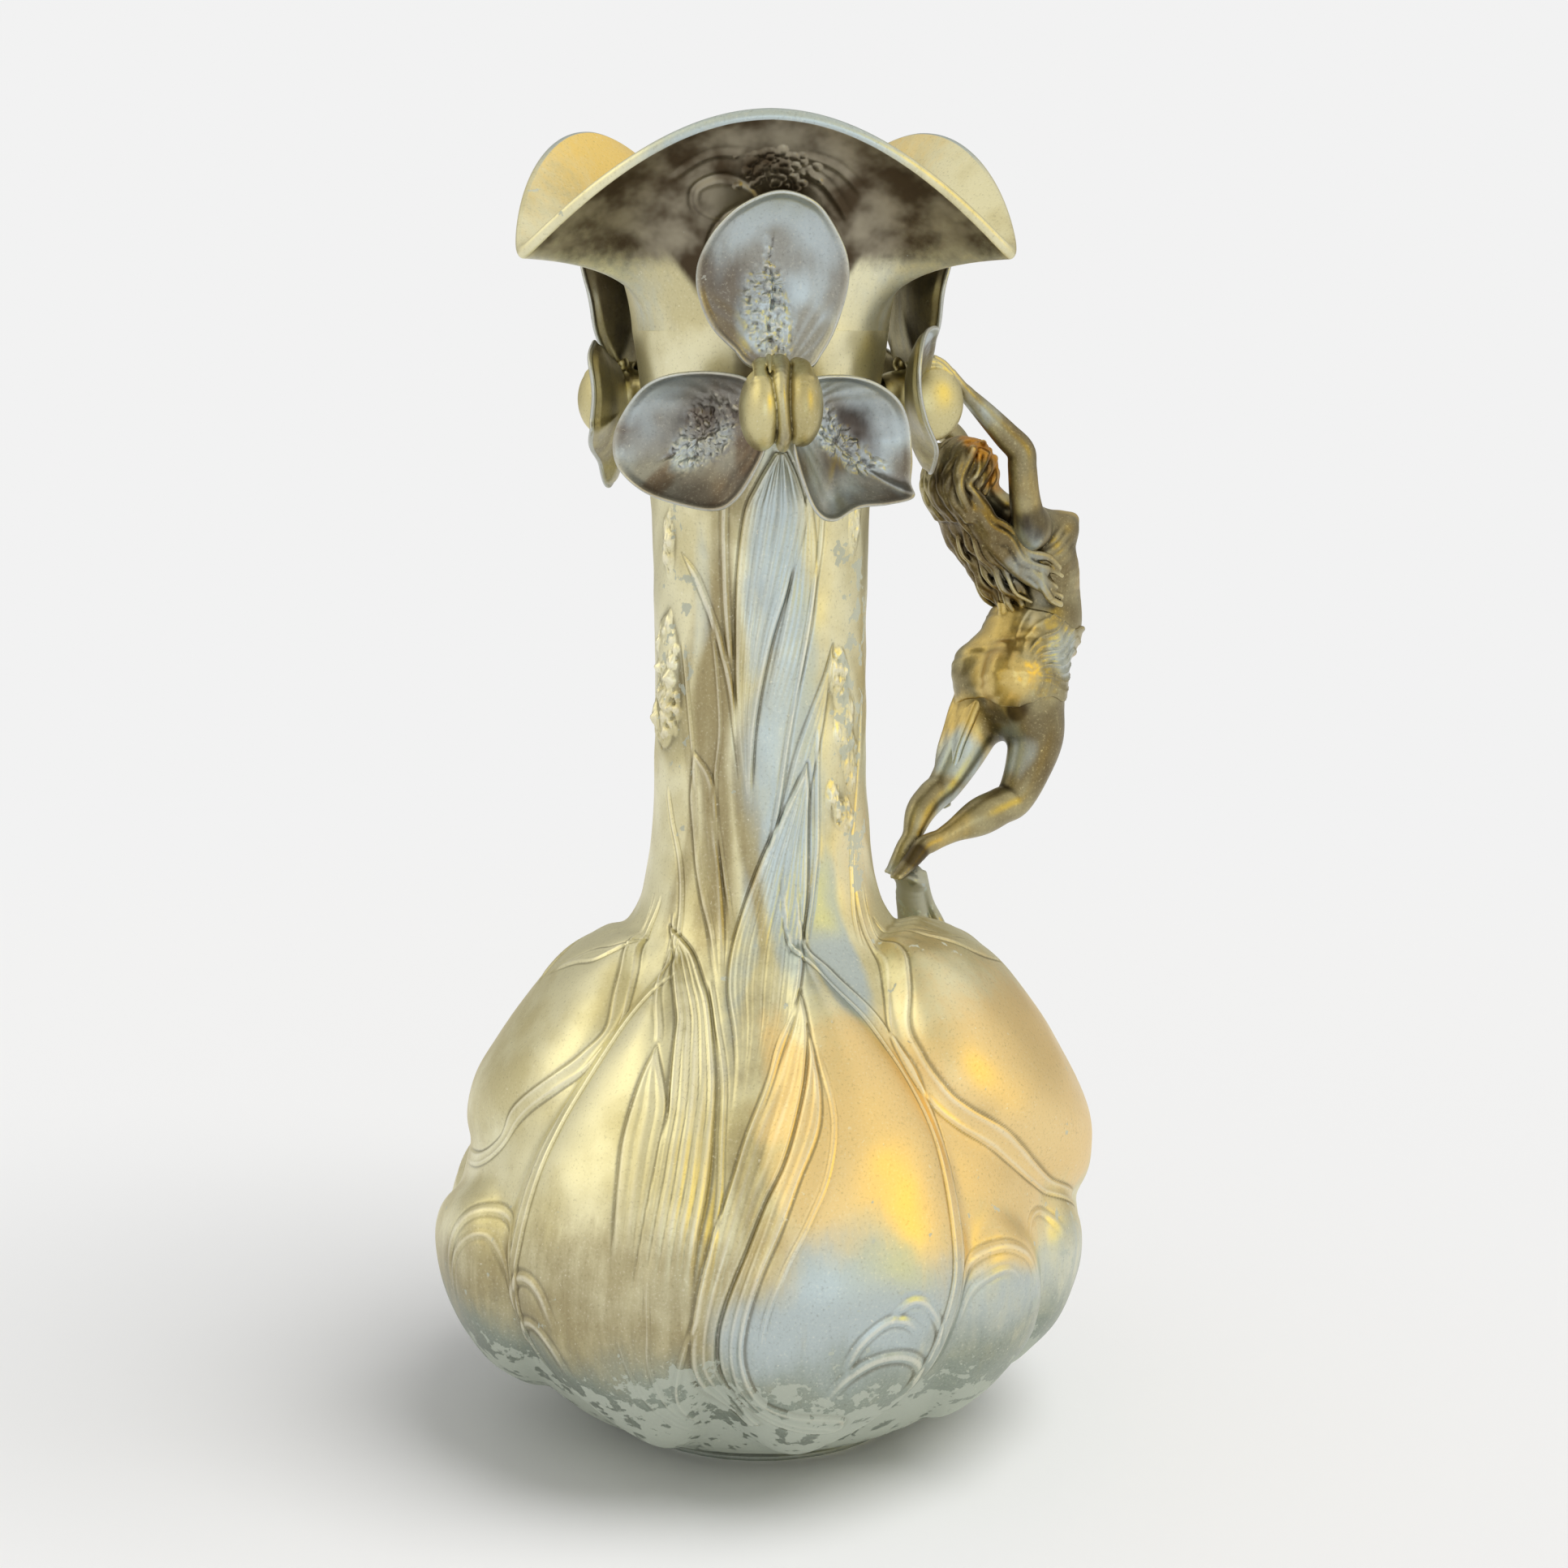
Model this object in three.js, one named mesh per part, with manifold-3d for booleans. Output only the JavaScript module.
// A tall cast pewter flower vase in the curling plant style of about 1900: a bulb of swelling lobes,
// a long neck, a three-lobed mouth, an iris bloom under each lobe of the mouth, and a standing nymph
// as the handle.
// Every casting is a piece of its own, set 0.35 mm from its neighbour where the real ones are soldered.
// Millimetres, +Z up, the origin at the middle of the base, the nymph on the +X side.
import * as THREE from "three";
import { mergeVertices } from "three/addons/utils/BufferGeometryUtils.js";
import Module from "manifold-3d";

const wasm = await Module();
wasm.setup();

// Driving dimensions
const height = 400; // to the top of the mouth's lobes
const wall = 2.2; // of the cast shells
const seam = 0.35; // clear gap at a soldered joint
const baseRadius = 45.5;
const baseThickness = 3;
const neckSeamZ = 162; // where the bulb meets the neck
const mouthSeamZ = 341; // where the neck meets the mouth
const lobeCount = 3; // lobes of the mouth, and blooms
const frontAngle = -120; // the direction of the front bloom, in degrees from +X
const rimHighRadius = 60; // the mouth's edge at the top of a lobe
const rimLowRadius = 80; // and at the drooping corner between two lobes
const rimLowZ = 361;
const rimTurn = -3; // degrees from +X to the middle of a lobe
const rimThickness = 4.2;

const radians = THREE.MathUtils.degToRad;

const pewter = (color, roughness) => new THREE.MeshStandardMaterial({ color, roughness, metalness: 0.9 });
const shellPewter = pewter(0xb5ad8c, 0.42);
const bloomPewter = pewter(0x8d8a80, 0.4);
const nymphPewter = pewter(0xa89664, 0.38);
const basePewter = pewter(0x9aa29c, 0.55);

const root = new THREE.Group();

// Shapes: everything is a stack of rings, closed by caps or by running back to its first ring

function ringSolid(rings, backToStart = false) {
  const count = rings[0].length;
  const points = rings.flat();
  const faces = [];
  const steps = backToStart ? rings.length : rings.length - 1;
  for (let row = 0; row < steps; row++) {
    const next = (row + 1) % rings.length;
    for (let i = 0; i < count; i++) {
      const j = (i + 1) % count;
      faces.push(row * count + i, row * count + j, next * count + j);
      faces.push(row * count + i, next * count + j, next * count + i);
    }
  }
  if (!backToStart) {
    for (const [row, turned] of [[0, true], [rings.length - 1, false]]) {
      const centre = new THREE.Vector3();
      rings[row].forEach((p) => centre.addScaledVector(p, 1 / count));
      const middle = points.push(centre) - 1;
      for (let i = 0; i < count; i++) {
        const a = row * count + i;
        const b = row * count + ((i + 1) % count);
        faces.push(...(turned ? [middle, b, a] : [middle, a, b]));
      }
    }
  }
  return facingOut(new THREE.BufferGeometry().setFromPoints(points).setIndex(faces));
}

function facingOut(geometry) {
  const at = geometry.attributes.position;
  const index = geometry.index.array;
  const [a, b, c] = [new THREE.Vector3(), new THREE.Vector3(), new THREE.Vector3()];
  let volume = 0;
  for (let i = 0; i < index.length; i += 3) {
    a.fromBufferAttribute(at, index[i]);
    b.fromBufferAttribute(at, index[i + 1]);
    c.fromBufferAttribute(at, index[i + 2]);
    volume += a.dot(b.cross(c));
  }
  if (volume < 0) {
    for (let i = 0; i < index.length; i += 3) [index[i + 1], index[i + 2]] = [index[i + 2], index[i + 1]];
  }
  return geometry;
}

function toSolid(geometry) {
  const merged = mergeVertices(geometry, 1e-4);
  const vertProperties = new Float32Array(merged.attributes.position.array);
  const triVerts = new Uint32Array(merged.index.array);
  return new wasm.Manifold(new wasm.Mesh({ numProp: 3, vertProperties, triVerts }));
}

function toGeometry(solid) {
  const mesh = solid.getMesh();
  const geometry = new THREE.BufferGeometry();
  geometry.setAttribute("position", new THREE.BufferAttribute(new Float32Array(mesh.vertProperties), 3));
  return geometry.setIndex(new THREE.BufferAttribute(new Uint32Array(mesh.triVerts), 1));
}

const joinAll = (geometries) => geometries.map(toSolid).reduce((whole, next) => whole.add(next));

function addPiece(parent, name, geometry, material) {
  const mesh = new THREE.Mesh(geometry, material);
  mesh.name = name;
  parent.add(mesh);
}

// The vase's side: radius and height up the valleys between the lobes, from the foot to the mouth's seam

const valleyLine = new THREE.SplineCurve(
  [
    [46, 3.6], [57.5, 8.2], [69.5, 16.5], [82.5, 31], [92.5, 48], [95.5, 68], [91.5, 88], [84, 107],
    [73, 125],
    [60, 141], [48, 153], [40, neckSeamZ], [36, 173], [33.6, 190], [32.6, 214], [32.4, 245], [32.8, 275],
    [34, 300], [36, 322], [38.6, mouthSeamZ],
  ].map(([r, z]) => new THREE.Vector2(r, z)),
);
const neckSeamStep = 11; // the point of the line that lies on the bulb's seam
const lastStep = valleyLine.points.length - 1;

// A point on the side, `step` points up the line, pushed out along the line's own normal by `out`
function sidePoint(step, angle, out) {
  const t = step / lastStep;
  const p = valleyLine.getPoint(t);
  const tangent = valleyLine.getTangent(t);
  const radius = p.x + tangent.y * out;
  return new THREE.Vector3(radius * Math.cos(angle), radius * Math.sin(angle), p.y - tangent.x * out);
}

// The lobes of the bulb: outlines in degrees from the front bloom and millimetres up, how far each swells,
// and the width of its rounded border
const frontLobes = [
  {
    outline: [
      [8, 160], [20, 146], [29, 126], [32.5, 98], [31, 66], [22, 34], [4, 14], [-9, 26], [-10, 62], [-5, 100],
      [2, 136],
    ],
    swell: 7.5, border: 26,
  },
  {
    outline: [
      [-38, 156], [-45.5, 142], [-51, 118], [-55.5, 96], [-56, 66], [-48, 36], [-32, 14], [-19, 24],
      [-15, 62],
      [-16, 104], [-26, 140],
    ],
    swell: 7.5, border: 26,
  },
  {
    outline: [[33, 56], [35, 76], [41, 84], [49, 77], [55, 58], [57, 38], [50, 20], [40, 17], [33, 34]],
    swell: 5.5, border: 14,
  },
  {
    outline: [[58, 60], [61, 78], [68, 82], [80, 70], [94, 56], [104, 36], [96, 20], [76, 15], [61, 32]],
    swell: 7, border: 18,
  },
  {
    outline: [
      [-58, 60], [-61, 78], [-67, 86], [-78, 82], [-94, 72], [-106, 52], [-104, 30], [-84, 15], [-60, 32],
    ],
    swell: 8, border: 20,
  },
];
const shoulderLobes = [
  {
    outline: [
      [50, 157], [38, 146], [33.5, 131], [37, 117], [47, 104], [62, 89], [78, 74], [94, 66], [108, 82],
      [116, 112], [114, 142], [92, 157],
    ],
    swell: 15, border: 26,
  },
  {
    outline: [
      [-60, 158], [-51.5, 146], [-50.5, 132], [-56, 117], [-70, 105], [-92, 92], [-110, 94], [-124, 116],
      [-126, 140], [-110, 155], [-84, 158],
    ],
    swell: 6.5, border: 18,
  },
];
const halfTurnOf = ({ outline, ...rest }) => ({ outline: outline.map(([a, z]) => [a + 180, z]), ...rest });
const lobes = [...frontLobes, ...frontLobes.map(halfTurnOf), ...shoulderLobes];
const outlineSteps = 6; // straight bits drawn between two outline points
for (const lobe of lobes) {
  const corners = lobe.outline.map(([a, z]) => new THREE.Vector3(a, z, 0));
  const edge = new THREE.CatmullRomCurve3(corners, true, "catmullrom", 0.5);
  lobe.edge = edge.getPoints(corners.length * outlineSteps);
}

const wrapDegrees = (a) => a - 360 * Math.round(a / 360);

// How far the casting stands proud of the valley line there
function lobeSwell(angle, radius, z) {
  let most = 0;
  for (const { edge, swell, border } of lobes) {
    const middle = edge[0].x;
    const here = middle + wrapDegrees(THREE.MathUtils.radToDeg(angle) - frontAngle - middle);
    let inside = false;
    let nearest = Infinity;
    for (let i = 0, j = edge.length - 2; i < edge.length - 1; j = i++) {
      const [p, q] = [edge[i], edge[j]];
      if (p.y > z !== q.y > z && here < ((q.x - p.x) * (z - p.y)) / (q.y - p.y) + p.x) inside = !inside;
      nearest = Math.min(nearest, Math.hypot(radians(p.x - here) * radius, p.y - z));
    }
    if (!inside) continue;
    const short = 1 - Math.min(1, nearest / border);
    most = Math.max(most, swell * Math.sqrt(1 - short * short));
  }
  return most;
}

// The leaves cast on the side, from their tips down: outlines like the lobes', and how proud each stands
const frontLeaves = [
  {
    outline: [
      [-51, 164], [-33, 157.5], [-21, 144.5], [-16.5, 129.5], [-15.5, 100], [-17.5, 76], [-26.5, 76],
      [-25.3, 96],
      [-25.2, 120], [-31, 144],
    ],
    lift: 2.4,
  },
  { outline: [[-31.2, 133], [-26, 123], [-24.8, 99], [-25.4, 82], [-30.8, 82], [-32.4, 110]], lift: 1.5 },
  {
    outline: [
      [6.3, 148], [4.5, 129.5], [-1.6, 106.8], [-8.5, 84.4], [-13.3, 59.5], [-12.5, 44], [-8, 32], [-15, 32],
      [-17.6, 59], [-14.5, 87.6], [-8.9, 115.3], [-1, 138],
    ],
    lift: 1.7,
  },
  {
    outline: [
      [6.6, 138], [5.5, 115], [-2.6, 89], [-8.2, 65], [-8.6, 53.4], [-5.9, 43.8], [5, 39.2],
      [9.5, 34.5], [6.7, 30.5],
      [-5.9, 36.6], [-13.1, 48.8], [-11.7, 70.8], [-5.2, 97], [1.9, 119.3],
    ],
    lift: 1.7,
  },
  {
    outline: [
      [19.1, 214], [20, 197], [17.4, 175], [10.4, 158], [-2.4, 130], [-9, 122], [-13, 130], [-17.3, 157],
      [-8.8, 181], [3.6, 197],
    ],
    lift: 1.6,
  },
  {
    outline: [
      [-44, 217], [-34, 211], [-28.2, 190], [-23.9, 171], [-19, 155], [-24, 155], [-39.6, 179], [-45.6, 199],
    ],
    lift: 1.3,
  },
  {
    outline: [
      [4, 306], [14, 297], [18, 286.5], [9.8, 268], [-0.6, 248.5], [-8.5, 224], [-12.5, 206], [-17.3, 217],
      [-19.4, 236], [-19.3, 263], [-14.9, 287], [-6, 299],
    ],
    lift: 1.5,
  },
  {
    outline: [[-51.5, 276], [-36, 265], [-22.5, 243], [-15, 212], [-19.5, 212], [-28.5, 247], [-42.5, 267]],
    lift: 1.1,
  },
  { outline: [[36, 249], [34, 238], [22, 208], [13, 205], [21, 229]], lift: 1 },
  { outline: [[-66, 258], [-57, 247], [-58, 226], [-68, 215], [-80, 224], [-78, 246]], lift: 2.2 },
  { outline: [[40, 250], [51, 236], [56, 215], [43, 192], [36, 200], [36, 225]], lift: 1.3 },
];
// The stems that hold the lobes apart, as lines in degrees and millimetres
const frontStems = [
  [[9, 181], [11, 161], [26.6, 141.8], [31.4, 117], [30.5, 89.7], [27.7, 65.5], [19, 38]],
  [[52, 175], [45.3, 154], [34.1, 139.5], [35, 119.5], [46.9, 103.8], [68, 79]],
  [[-37, 152], [-46.6, 127.4], [-50.8, 96.3], [-52.3, 67.9], [-46, 38]],
  [[-65, 161], [-48.8, 138], [-56.3, 120.1], [-70, 99], [-92, 86]],
  [[-77, 62], [-74.6, 76.2], [-62.3, 89], [-55, 68], [-52, 44]],
  [[28.4, 58], [34, 81.5], [44.6, 81.2], [51, 60]],
];
const stemLift = 1;
const stemHalfWidth = 3.4;
const leaves = [...frontLeaves, ...frontLeaves.map(halfTurnOf)];
const stems = [...frontStems, ...frontStems.map((line) => line.map(([a, z]) => [a + 180, z]))];

// Whether a place is inside an outline, and how far it is from the nearest of the outline's sides
function placeIn(edge, angle, radius, z, closed = true) {
  const here = edge[0][0] + wrapDegrees(THREE.MathUtils.radToDeg(angle) - frontAngle - edge[0][0]);
  const flat = ([a, h]) => [radians(a - here) * radius, h - z];
  let inside = false;
  let nearest = Infinity;
  for (let i = closed ? 0 : 1; i < edge.length; i++) {
    const [px, py] = flat(edge[i]);
    const [qx, qy] = flat(edge[(i || edge.length) - 1]);
    if (py > 0 !== qy > 0 && 0 < ((qx - px) * (0 - py)) / (qy - py) + px) inside = !inside;
    const [dx, dy] = [qx - px, qy - py];
    const share = THREE.MathUtils.clamp(-(px * dx + py * dy) / (dx * dx + dy * dy), 0, 1);
    nearest = Math.min(nearest, Math.hypot(px + share * dx, py + share * dy));
  }
  return { inside, nearest };
}

function leafRise(angle, radius, z) {
  let rise = 0;
  for (const line of stems) {
    if (z > line[0][1] + 9 || Math.min(...line.map((p) => p[1])) - 9 > z) continue;
    const { nearest } = placeIn(line, angle, radius, z, false);
    rise = Math.max(rise, stemLift * Math.min(1, Math.max(0, 1.5 - nearest / stemHalfWidth)));
  }
  for (const { outline, lift } of leaves) {
    const heights = outline.map((p) => p[1]);
    if (z > Math.max(...heights) || z < Math.min(...heights)) continue;
    const { inside, nearest } = placeIn(outline, angle, radius, z);
    if (inside) rise = Math.max(rise, lift * Math.min(1, 0.35 + nearest / 2.5));
  }
  return rise;
}

// Columns stand closer together where the leaves are
const leafyFrom = -56; // degrees from the front bloom, and again half a turn on
const leafyTo = 38;
const leafyColumns = 42;
const plainColumns = 18;

function columnAngles() {
  const angles = [];
  for (const half of [0, 180]) {
    const leafy = leafyTo - leafyFrom;
    for (let i = 0; i < leafyColumns; i++) angles.push(half + leafyFrom + (leafy * i) / leafyColumns);
    for (let i = 0; i < plainColumns; i++) angles.push(half + leafyTo + ((180 - leafy) * i) / plainColumns);
  }
  return angles.map((a) => radians(a + frontAngle));
}

const evenAngles = (columns) => Array.from({ length: columns }, (_, i) => (i / columns) * 2 * Math.PI);

// One ring of the outside, `step` points up the line
function outerRing(step, angles, swollen) {
  const p = valleyLine.getPoint(step / lastStep);
  return angles.map((angle) => {
    const swell = swollen ? lobeSwell(angle, p.x, p.y) : 0;
    return sidePoint(step, angle, swell + leafRise(angle, p.x, p.y));
  });
}

// One ring of the inside, which swells only as far as the outside does all round the place
function innerRing(step, angles, rowStep, swollen) {
  const spacing = angles[1] - angles[0];
  const around = [-0.75, -0.4, 0, 0.4, 0.75];
  return angles.map((angle) => {
    let swell = swollen ? Infinity : 0;
    for (const up of swollen ? around : []) {
      const p = valleyLine.getPoint(THREE.MathUtils.clamp(step + up * rowStep, 0, lastStep) / lastStep);
      for (const aside of around) swell = Math.min(swell, lobeSwell(angle + aside * spacing, p.x, p.y));
    }
    return sidePoint(step, angle, swell - wall);
  });
}

// A shell between two steps of the line: a solid outside with the inside taken out of it
function sideShell(from, to, outerRows, innerRows, innerColumns, swollen) {
  const columns = columnAngles();
  const innerAngles = evenAngles(innerColumns);
  const rowStep = (to - from) / innerRows;
  const outer = [];
  for (let row = 0; row <= outerRows; row++) {
    outer.push(outerRing(THREE.MathUtils.lerp(from, to, row / outerRows), columns, swollen));
  }
  const inner = [];
  for (let row = 0; row <= innerRows; row++) {
    inner.push(innerRing(from + row * rowStep, innerAngles, rowStep, swollen));
  }
  const past = 12; // the inside runs on out of both ends
  inner.unshift(inner[0].map((p) => new THREE.Vector3(p.x, p.y, p.z - past)));
  inner.push(inner[inner.length - 1].map((p) => new THREE.Vector3(p.x, p.y, p.z + past)));
  return toSolid(ringSolid(outer)).subtract(toSolid(ringSolid(inner)));
}

// Base and bulb

function baseDisc() {
  const edge = 1.2; // radius of the rounded upper edge
  const profile = [
    [0, 0], [baseRadius - edge, 0], [baseRadius, edge], [baseRadius, baseThickness - edge],
    [baseRadius - edge, baseThickness], [0, baseThickness],
  ];
  return new THREE.LatheGeometry(profile.map(([r, z]) => new THREE.Vector2(r, z)), 36).rotateX(Math.PI / 2);
}

const seamStep = 0.03; // a seam's gap, as a share of one step of the line
addPiece(root, "base_disc", facingOut(mergeVertices(bareOf(baseDisc()), 1e-4)), basePewter);
const bulb = sideShell(0, neckSeamStep - seamStep, 25, 12, 72, true);
addPiece(root, "bulb", toGeometry(bulb), shellPewter);
const neck = toGeometry(sideShell(neckSeamStep + seamStep, lastStep, 15, 5, 30, false));
addPiece(root, "neck", neck, shellPewter);

function bareOf(geometry) {
  geometry.deleteAttribute("normal");
  geometry.deleteAttribute("uv");
  return geometry;
}

// Mouth: a trumpet whose edge rises over each bloom and droops between them

const mouthStart = new THREE.Vector2(38.6, mouthSeamZ + seam);

// 1 over the middle of a lobe, 0 at the corner between two: nearly level, then falling away
function lobeRise(angle) {
  const half = 180 / lobeCount;
  const fromLobe = THREE.MathUtils.radToDeg(angle) - rimTurn + half;
  const turn = THREE.MathUtils.euclideanModulo(fromLobe, 2 * half) - half;
  const rounded = half + 2 - Math.hypot(half - Math.abs(turn), 2);
  return 1 - (rounded / half) ** 2.2;
}

// The trumpet's line at one angle: cubic, from the neck to the edge
function mouthPoint(angle, t, inward) {
  const rise = lobeRise(angle);
  const line = new THREE.CubicBezierCurve(
    mouthStart,
    new THREE.Vector2(39.5, 352 + 8 * rise),
    new THREE.Vector2(50 - 2 * rise, rimLowZ - 1 + 26 * rise),
    new THREE.Vector2(
      rimLowRadius + (rimHighRadius - rimLowRadius) * rise,
      rimLowZ + (height - rimThickness / 2 - rimLowZ) * rise,
    ),
  );
  const p = line.getPoint(t);
  const tangent = line.getTangent(t);
  const radius = p.x - tangent.y * inward;
  return new THREE.Vector3(radius * Math.cos(angle), radius * Math.sin(angle), p.y + tangent.x * inward);
}

function mouthShell(columns, outerRows, innerRows) {
  const ring = (t, inward) =>
    Array.from({ length: columns }, (_, i) => mouthPoint((i / columns) * 2 * Math.PI, t, inward));
  const thickness = (t) => THREE.MathUtils.lerp(wall, rimThickness, t);
  const rings = [];
  for (let row = 0; row <= outerRows; row++) rings.push(ring(row / outerRows, 0));
  rings.push(ring(1, rimThickness / 2).map((p) => p.multiply(new THREE.Vector3(1.012, 1.012, 1))));
  for (let row = innerRows; row >= 0; row--) rings.push(ring(row / innerRows, thickness(row / innerRows)));
  return ringSolid(rings, true);
}
addPiece(root, "mouth", mouthShell(66, 8, 5), shellPewter);

// What the applied castings are cut by: the neck and mouth as one solid core, grown by the seam

function coreSolid(columns) {
  const angles = Array.from({ length: columns }, (_, i) => (i / columns) * 2 * Math.PI);
  const rings = [];
  for (let step = 9; step < lastStep; step++) rings.push(angles.map((a) => sidePoint(step, a, seam + 0.25)));
  for (let row = 0; row <= 12; row++) rings.push(angles.map((a) => mouthPoint(a, row / 12, -seam - 0.25)));
  rings.push(angles.map((a) => mouthPoint(a, 1, rimThickness)));
  return toSolid(ringSolid(rings));
}
const core = coreSolid(72);

// Blooms. A petal's outline is in degrees round the neck from the bud and millimetres up

const hoodOutline = [
  [-8, 331], [-14, 336], [-20.5, 342.5], [-24, 350.5], [-24, 357], [-21.5, 363], [-17, 369.5],
  [-10.5, 375], [-1, 378.5],
  [8, 376], [14, 370], [18.5, 362], [19.5, 353], [17.5, 343], [13, 335], [8, 330.5],
];
const leftOutline = [
  [-5, 318], [-9, 326.5], [-20, 329], [-33, 328], [-43, 324], [-50, 317], [-53.5, 309], [-52, 302],
  [-44, 296.5],
  [-32, 293], [-20, 291], [-13.5, 294], [-8, 302], [-5, 309],
];
const rightOutline = [
  [4, 318], [8, 326.5], [18, 328], [29, 326], [38, 320.5], [43.5, 313], [44, 305], [43, 298],
  [45, 293.5], [35, 292],
  [23.5, 291.5], [16, 288], [11, 290], [7, 298], [4, 308],
];
const petalSteps = 1.3; // points drawn for each point of an outline
const petalThickness = 2.4;

// A cupped petal: its middle stands `heart` from the axis and its edge `rim`, which curls out more
// with `curl`
function petal({ outline, heart, rim, curl, lift }) {
  const corners = outline.map(([a, z]) => new THREE.Vector3(a, z, 0));
  const edge = new THREE.CatmullRomCurve3(corners, true, "catmullrom", 0.5)
    .getPoints(Math.round(outline.length * petalSteps))
    .slice(0, -1);
  const middle = new THREE.Vector3();
  edge.forEach((p) => middle.addScaledVector(p, 1 / edge.length));
  const ring = (share, side) =>
    edge.map((p) => {
      const q = middle.clone().lerp(p, share);
      const upper = (q.y - middle.y) / 20;
      const radius = heart + (rim - heart) * share ** curl + side + (lift.lean ?? 0) * upper * share;
      const angle = radians(q.x);
      const raised = q.y + (lift.ends * Math.abs(q.x)) / 50;
      return new THREE.Vector3(radius * Math.cos(angle), radius * Math.sin(angle), raised);
    });
  const shares = [0.12, 0.5, 0.8, 1];
  const half = (share) => (petalThickness / 2) * (1 - 0.55 * share ** 4);
  const front = shares.map((share) => ring(share, half(share)));
  const back = shares.map((share) => ring(share, -half(share))).reverse();
  return ringSolid([...front, ...back]);
}

// The bud at the bloom's heart: two plump halves with a cleft between them
const budCentre = new THREE.Vector3(56, 0, 320);
const budHalf = { out: 11.5, side: 6, up: 12.7, apart: 4.6 };

function budHalfBody(hand, grown) {
  const shape = new THREE.IcosahedronGeometry(1, 2);
  shape.scale(budHalf.out + grown, budHalf.side + grown, budHalf.up + grown);
  shape.rotateX(hand * -0.12);
  return shape.translate(budCentre.x, hand * budHalf.apart, budCentre.z);
}
const budBody = (grown, turn) =>
  joinAll([-1, 1].map((hand) => bareOf(budHalfBody(hand, grown).rotateZ(turn))));

// The largest of a cut solid's loose parts
function biggest(solid) {
  return solid.decompose().reduce((best, next) => (next.volume() > best.volume() ? next : best));
}

// Where each bloom sits, how far its lower petals' ends lift and how far out their edges stand
const blooms = [
  { name: "handle", turn: radians(-12), ends: 20, rim: 52 },
  { name: "left", turn: radians(108), ends: 20, rim: 50 },
  { name: "front", turn: radians(240), ends: 0, rim: 55.5 },
];
const petalsOf = ({ turn, ends, rim }) => ({
  hood: petal({
    outline: hoodOutline, heart: 47.5, rim: 54.5, curl: 2, lift: { ends: 0, lean: 3.5 },
  }).rotateZ(turn),
  left: petal({ outline: leftOutline, heart: 45, rim, curl: 2.2, lift: { ends } }).rotateZ(turn),
  right: petal({ outline: rightOutline, heart: 45, rim, curl: 2.2, lift: { ends } }).rotateZ(turn),
});

for (const bloom of blooms) {
  const { name, turn } = bloom;
  const grownBud = budBody(seam, turn);
  for (const [part, shape] of Object.entries(petalsOf(bloom))) {
    const cut = biggest(toSolid(shape).subtract(core).subtract(grownBud));
    addPiece(root, `${name}_bloom_${part}_petal`, toGeometry(cut), bloomPewter);
  }
  addPiece(root, `${name}_bloom_bud`, toGeometry(biggest(budBody(0, turn).subtract(core))), bloomPewter);
}

// The nymph: limbs swept along smooth lines through [x, y, z, half depth, half width]

function limb(stations, rows, around, grown = 0) {
  const through = (points) => new THREE.CatmullRomCurve3(points, false, "centripetal");
  const path = through(stations.map(([x, y, z]) => new THREE.Vector3(x, y, z)));
  const sizes = through(stations.map(([, , , d, w]) => new THREE.Vector3(d, w, 0)));
  const rings = [];
  for (let row = -2; row <= rows + 2; row++) {
    const t = THREE.MathUtils.clamp(row / rows, 0, 1);
    const past = (row - THREE.MathUtils.clamp(row, 0, rows)) / 2; // -1 to 1 over the two rounded ends
    const tangent = path.getTangent(t);
    const lateral = new THREE.Vector3(0, 1, 0).addScaledVector(tangent, -tangent.y).normalize();
    const depth = new THREE.Vector3().crossVectors(lateral, tangent);
    const size = sizes.getPoint(Math.min(0.9999, t));
    const roundness = Math.cos(past * 1.25);
    const reach = Math.sin(past * 1.25) * (Math.min(size.x, size.y) + grown);
    const centre = path.getPoint(t).addScaledVector(tangent, reach);
    rings.push(
      Array.from({ length: around }, (_, i) => {
        const turn = (i / around) * 2 * Math.PI;
        return centre
          .clone()
          .addScaledVector(depth, Math.cos(turn) * (size.x + grown) * roundness)
          .addScaledVector(lateral, Math.sin(turn) * (size.y + grown) * roundness);
      }),
    );
  }
  return ringSolid(rings);
}

const torsoLine = [
  [103, 0, 218, 11, 15], [105, 0, 228, 14.5, 17.5], [109, 0, 240, 14, 15.5], [113, 0, 252, 13.5, 14],
  [113.5, 0, 262, 13.5, 14.5], [108.5, 0, 273, 12.5, 15.5], [101, 0, 282, 8, 12.5],
];
const bustLine = [[110, -7, 276, 6, 6], [116, -7, 279, 5.8, 6], [119.5, -7, 280.5, 3.8, 4]];
const napeLine = [[98, 0, 281, 5.5, 6], [90, 0, 288, 4.8, 5.2]];
const headLine = [[89, 0, 291, 7, 7], [82, 0, 297, 10.5, 8.8], [76, 0, 300, 9, 8]];
const rightLegLine = [
  [104, -8.5, 222, 11, 9.5], [105.5, -9, 210, 9.8, 9], [101, -10, 199, 7.6, 7.4], [95, -10, 189.5, 6, 6],
  [84, -8.5, 185.5, 6.4, 6], [73, -6, 180.5, 3.8, 3.8], [65.5, -4, 177, 2.7, 2.7],
];
const leftLegLine = [
  [101, 8, 222, 10.5, 9.5], [95.5, 8.5, 213, 9.2, 8.8], [88.5, 8.5, 202, 7.4, 7.2], [80, 7.5, 193, 5.8, 5.8],
  [70, 5.5, 186, 4.8, 4.8], [63.5, 3.5, 177, 2.7, 2.7],
];
const rightFootLine = [[65.5, -4, 177, 2.7, 2.7], [59, -3.5, 173, 3, 3.2], [52.5, -3.2, 168.5, 1.8, 2.8]];
const leftFootLine = [[63.5, 3.5, 177, 2.7, 2.7], [60, 3.5, 173, 3, 3.2], [56, 3.5, 168.5, 1.8, 2.8]];
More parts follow.
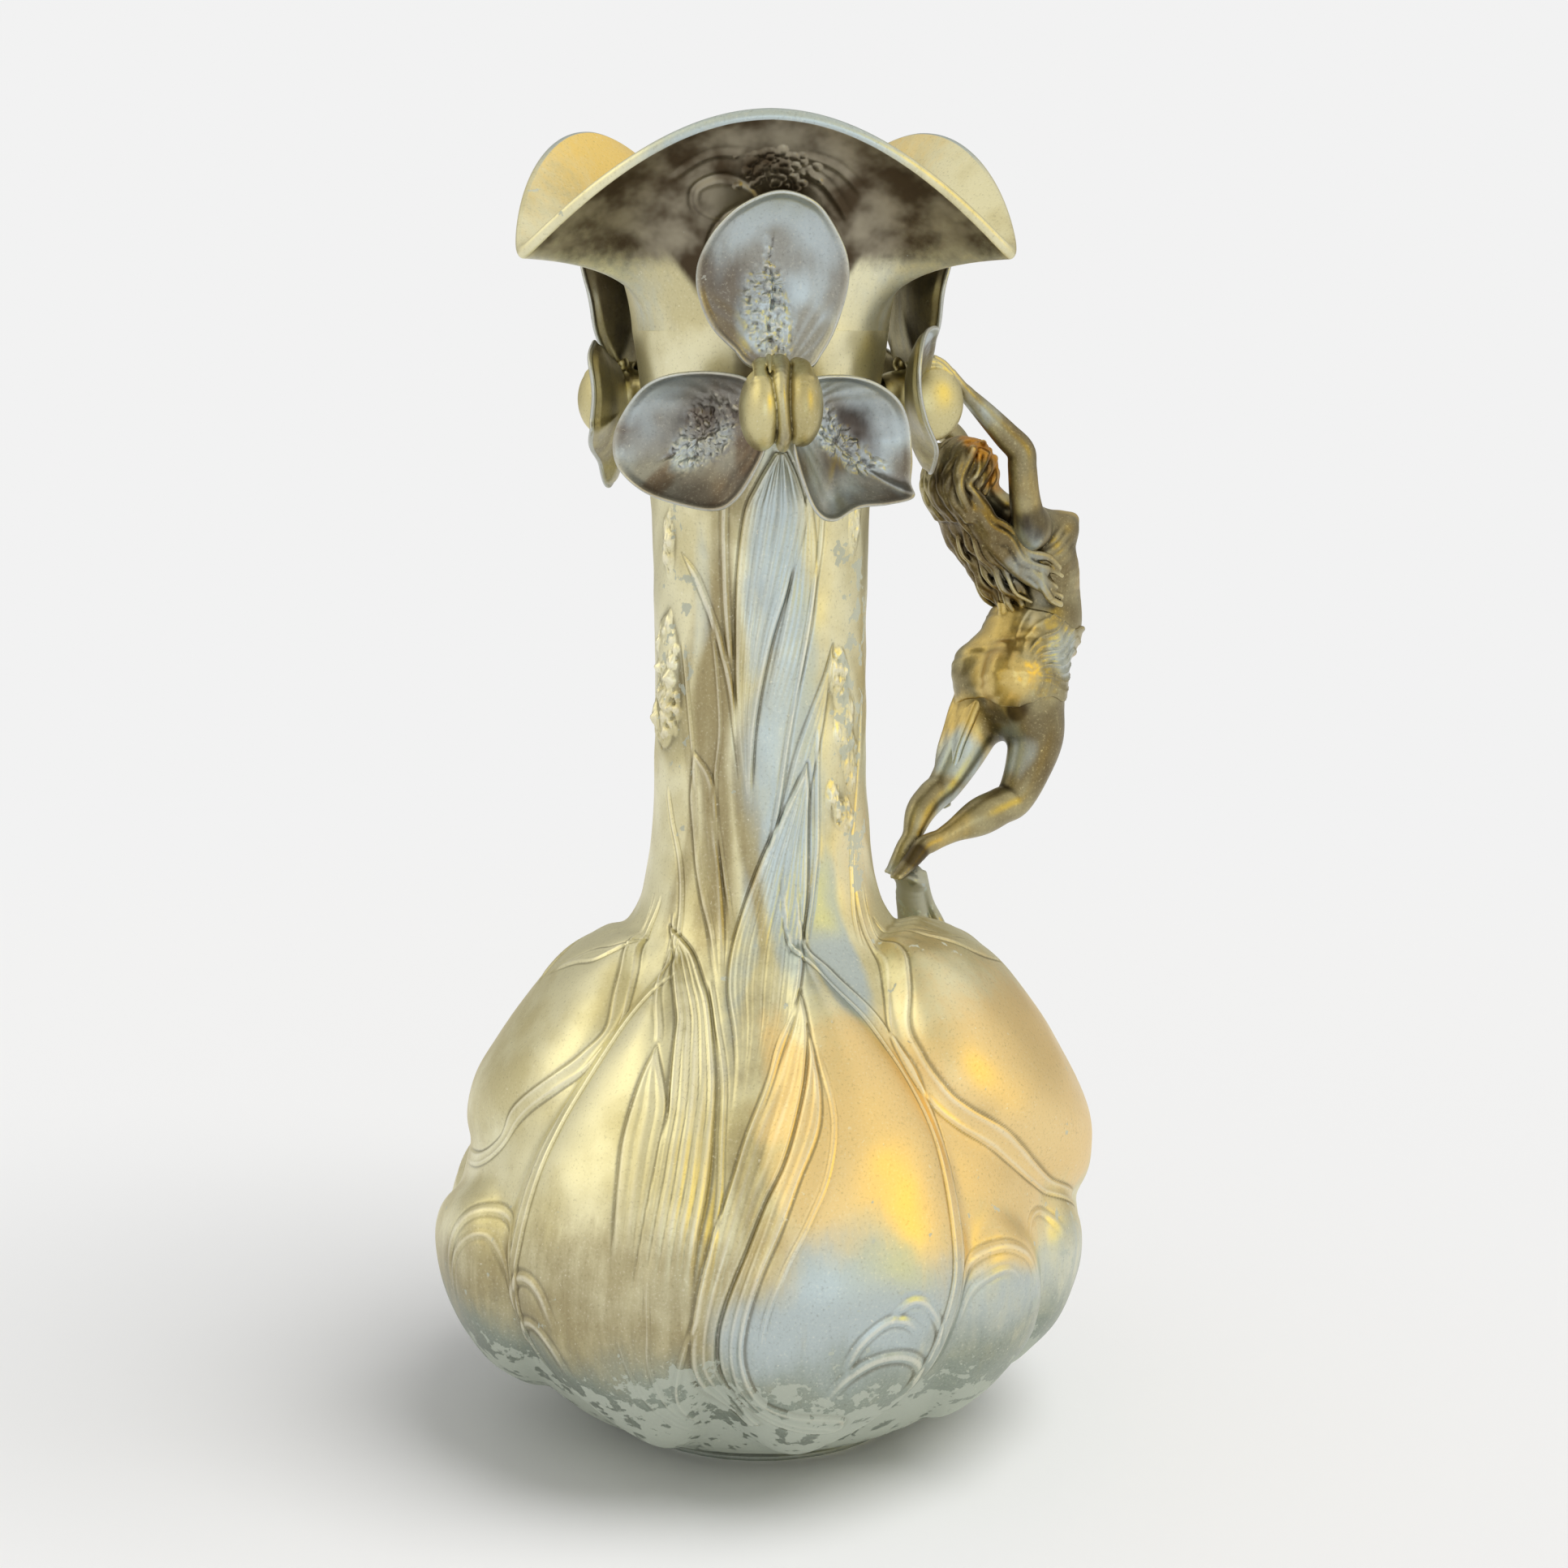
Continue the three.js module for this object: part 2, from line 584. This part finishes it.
const rightArmLine = [
  [97, -14, 279, 6.2, 6], [92, -16, 290, 5, 4.8], [90.5, -17, 303, 4.7, 4.6], [83, -13.5, 311, 4.2, 4],
  [73.5, -9, 321.5, 2.8, 2.8], [66, -7, 329, 2.4, 3], [59, -6, 334, 2, 3],
];
const leftArmLine = [
  [97, 14, 279, 6.2, 6], [94, 16.5, 291, 5, 4.8], [93, 17, 303.5, 4.6, 4.5], [84, 14, 309.5, 4, 3.9],
  [73, 12.2, 313.5, 2.8, 2.8], [62, 11.5, 315.5, 2.2, 3], [54.5, 10.5, 316, 1.8, 2.8],
];
const hairLine = [
  [82, 0, 310, 3.5, 6.5], [74.5, 0, 305, 5.5, 9], [73, 0, 296, 5.5, 9.2], [77, 0, 286, 6, 9.2],
  [85, 0, 277, 5.6, 10.5],
  [93.5, 0, 267.5, 5, 12], [100.5, 0, 258, 4, 12.5],
];
const hairSideLine = [
  [78, -8, 279, 4, 4], [90, -13, 270, 4.2, 3], [103, -13.5, 261, 4, 3], [114, -11.5, 255, 3, 2.4],
];
const drapeLine = [
  [107, 0, 249, 13.5, 14.5], [108.5, 0, 240, 16, 17.5], [106.5, 0, 228, 17.5, 20], [104, 0, 217, 15.5, 18.5],
];
const drapeTailLine = [
  [95, 12, 222, 6.5, 7.5], [94, 13.5, 211, 5.5, 6.5], [89.5, 13, 200, 4.5, 6], [82.5, 11, 187, 3, 4],
];
const stemLine = [
  [64, 0, 147, 7, 7.5], [61.5, 0, 154, 5.2, 6], [60, 0, 161, 4.6, 5.4], [60.5, 0, 167, 3.2, 5.5],
];

const mirrored = (line) => line.map(([x, y, z, d, w]) => [x, -y, z, d, w]);
const bodyLimbs = (grown) =>
  joinAll([
    limb(torsoLine, 11, 16, grown),
    limb(bustLine, 3, 10, grown),
    limb(mirrored(bustLine), 3, 10, grown),
    limb(napeLine, 3, 10, grown),
    limb(headLine, 5, 12, grown),
    limb(rightLegLine, 12, 10, grown),
    limb(leftLegLine, 10, 10, grown),
    limb(rightFootLine, 4, 10, grown),
    limb(leftFootLine, 4, 10, grown),
  ]);

// The handle's bloom and the bulb's shoulder, which the nymph's castings stop short of
const bloomKeepOut = (grown) =>
  Object.values(petalsOf(blooms[0])).map(toSolid).reduce((whole, solid) => {
    const moved = [[grown, 0, 0], [0, 0, grown], [0, 0, -grown]].map((way) => solid.translate(way));
    return moved.reduce((sum, next) => sum.add(next), whole);
  }, budBody(grown, blooms[0].turn));
const shoulderKeepOut = bulb.add(bulb.translate([0, 0, seam])).add(bulb.translate([seam, 0, 0]));
const keepOut = bloomKeepOut(seam + 0.1);

const body = biggest(bodyLimbs(0).subtract(core).subtract(shoulderKeepOut));
const grownBody = bodyLimbs(seam);
const arms = [rightArmLine, leftArmLine].map((line) =>
  biggest(toSolid(limb(line, 10, 8)).subtract(grownBody).subtract(core).subtract(keepOut)),
);
const grownArms = joinAll([limb(rightArmLine, 10, 8, seam), limb(leftArmLine, 10, 8, seam)]);
const hairLimbs = (grown) => joinAll([limb(hairLine, 10, 12, grown), limb(hairSideLine, 6, 7, grown)]);
const hair = biggest(hairLimbs(0).subtract(grownBody).subtract(grownArms).subtract(keepOut));
const drape = biggest(
  joinAll([limb(drapeLine, 6, 16), limb(drapeTailLine, 6, 8)]).subtract(grownBody).subtract(hairLimbs(seam)),
);
const stemRoom = toSolid(limb(stemLine, 5, 12)).subtract(grownBody).subtract(core);
const stem = biggest(stemRoom.subtract(shoulderKeepOut));

addPiece(root, "nymph_body", toGeometry(body), nymphPewter);
addPiece(root, "nymph_right_arm", toGeometry(arms[0]), nymphPewter);
addPiece(root, "nymph_left_arm", toGeometry(arms[1]), nymphPewter);
addPiece(root, "nymph_hair", toGeometry(hair), nymphPewter);
addPiece(root, "nymph_drape", toGeometry(drape), nymphPewter);
addPiece(root, "nymph_stem", toGeometry(stem), nymphPewter);

export default root;
